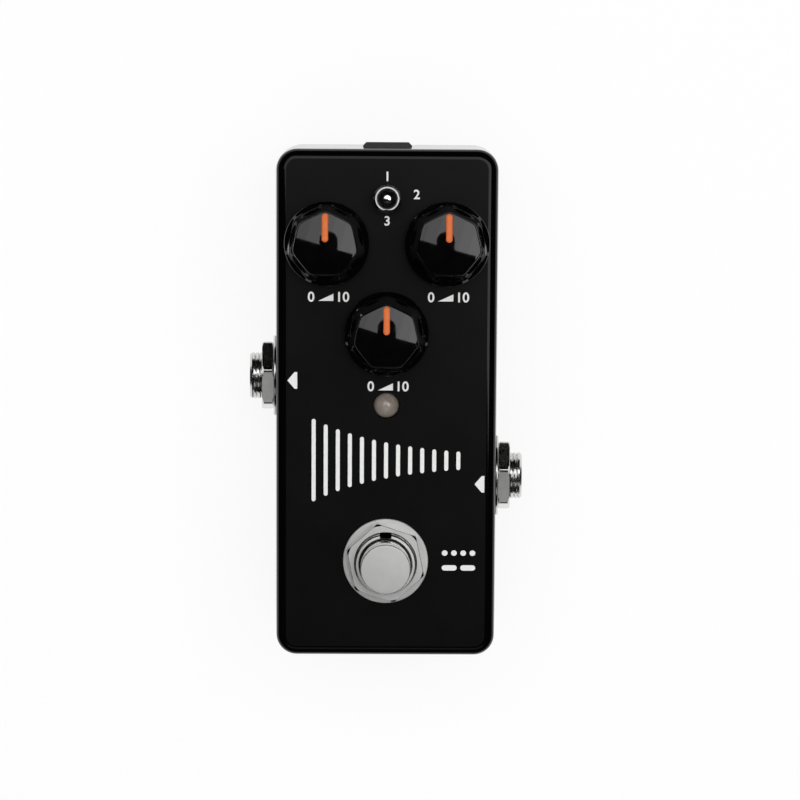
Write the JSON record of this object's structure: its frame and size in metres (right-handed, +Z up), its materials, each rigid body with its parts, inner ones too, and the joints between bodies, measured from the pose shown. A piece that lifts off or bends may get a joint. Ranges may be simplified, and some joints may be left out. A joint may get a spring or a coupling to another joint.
{
  "type": "delay pedal",
  "caption": "Small black delay effect pedal: sloping cast case with control knobs, a lever switch, a lamp, a footswitch, side signal jacks and a rear power jack.",
  "frame": {"origin": "centre of the base, on the surface that the pad stands on", "axes": "+X to the player's right (input side), +Y to the rear edge with the power jack, +Z up"},
  "size_m": [0.057, 0.1046, 0.0471],
  "materials": {
    "black_paint": "gloss black paint over cast aluminium",
    "pad_rubber": "matt",
    "screw_steel": "bright",
    "board": "green solder mask",
    "chip_plastic": "moulded",
    "can_aluminium": "satin",
    "pot_metal": "satin",
    "knob_plastic": "gloss",
    "pointer_orange": "satin",
    "housing_plastic": "moulded",
    "nickel": "bright nickel plate",
    "chrome": "polished",
    "lens": "diffuse epoxy",
    "spacer_plastic": "moulded",
    "contact_brass": "bright",
    "wire_insulation": "smooth"
  },
  "bodies": {
    "case": {"enclosure": "black_paint", "base_plate": "black_paint", "rubber_pad": "pad_rubber", "base_screws": "screw_steel", "foot_spring": "screw_steel", "pot_pins": "screw_steel", "jack_pins": "screw_steel", "led_leads": "screw_steel", "main_board": "board", "processor_chip": "chip_plastic", "memory_chip": "chip_plastic", "audio_chips": "chip_plastic", "regulator": "chip_plastic", "capacitors": "can_aluminium", "time_pot": "pot_metal", "repeat_pot": "pot_metal", "mix_pot": "pot_metal", "mode_switch_housing": "housing_plastic", "foot_housing": "housing_plastic", "output_jack_housing": "housing_plastic", "input_jack_housing": "housing_plastic", "power_jack_housing": "housing_plastic", "mode_switch_bushing": "nickel", "foot_bushing": "nickel", "foot_inner_nut": "nickel", "foot_washer": "nickel", "foot_nut": "nickel", "output_jack_bushing": "nickel", "input_jack_bushing": "nickel", "jack_washers": "nickel", "jack_nuts": "nickel", "pot_washers": "nickel", "pot_nuts": "nickel", "power_jack_pin": "nickel", "led_lens": "lens", "led_spacer": "spacer_plastic", "foot_terminals": "contact_brass", "output_jack_contact": "contact_brass", "input_jack_contact": "contact_brass", "power_jack_contact": "contact_brass", "foot_wires": "wire_insulation"},
    "time_dial": {"time_knob": "knob_plastic", "time_pointer": "pointer_orange", "time_shaft": "screw_steel"},
    "repeat_dial": {"repeat_knob": "knob_plastic", "repeat_pointer": "pointer_orange", "repeat_shaft": "screw_steel"},
    "mix_dial": {"mix_knob": "knob_plastic", "mix_pointer": "pointer_orange", "mix_shaft": "screw_steel"},
    "mode_lever": {"mode_switch_lever": "chrome"},
    "foot_plunger": {"foot_button": "chrome", "foot_contact": "contact_brass"}
  },
  "joints": [
    {"name": "time_turn", "type": "hinge", "parent": "case", "child": "time_dial", "pos_m": [-0.01185, 0.032, 0.0335], "axis": [0, 0, 1], "range_deg": [-150, 150]},
    {"name": "repeat_turn", "type": "hinge", "parent": "case", "child": "repeat_dial", "pos_m": [0.01185, 0.032, 0.0335], "axis": [0, 0, 1], "range_deg": [-150, 150]},
    {"name": "mix_turn", "type": "hinge", "parent": "case", "child": "mix_dial", "pos_m": [0, 0.0143, 0.0335], "axis": [0, 0, 1], "range_deg": [-150, 150]},
    {"name": "mode_tilt", "type": "hinge", "parent": "case", "child": "mode_lever", "pos_m": [0, 0.0408, 0.0347], "axis": [1, 0, 0], "range_deg": [-12, 12]},
    {"name": "foot_press", "type": "slide", "parent": "case", "child": "foot_plunger", "axis": [0, 0, -1], "range_m": [0, 0.003], "stiffness_N_per_m": 1500, "springref_m": -0.004, "deforming": ["foot_spring"]}
  ]
}
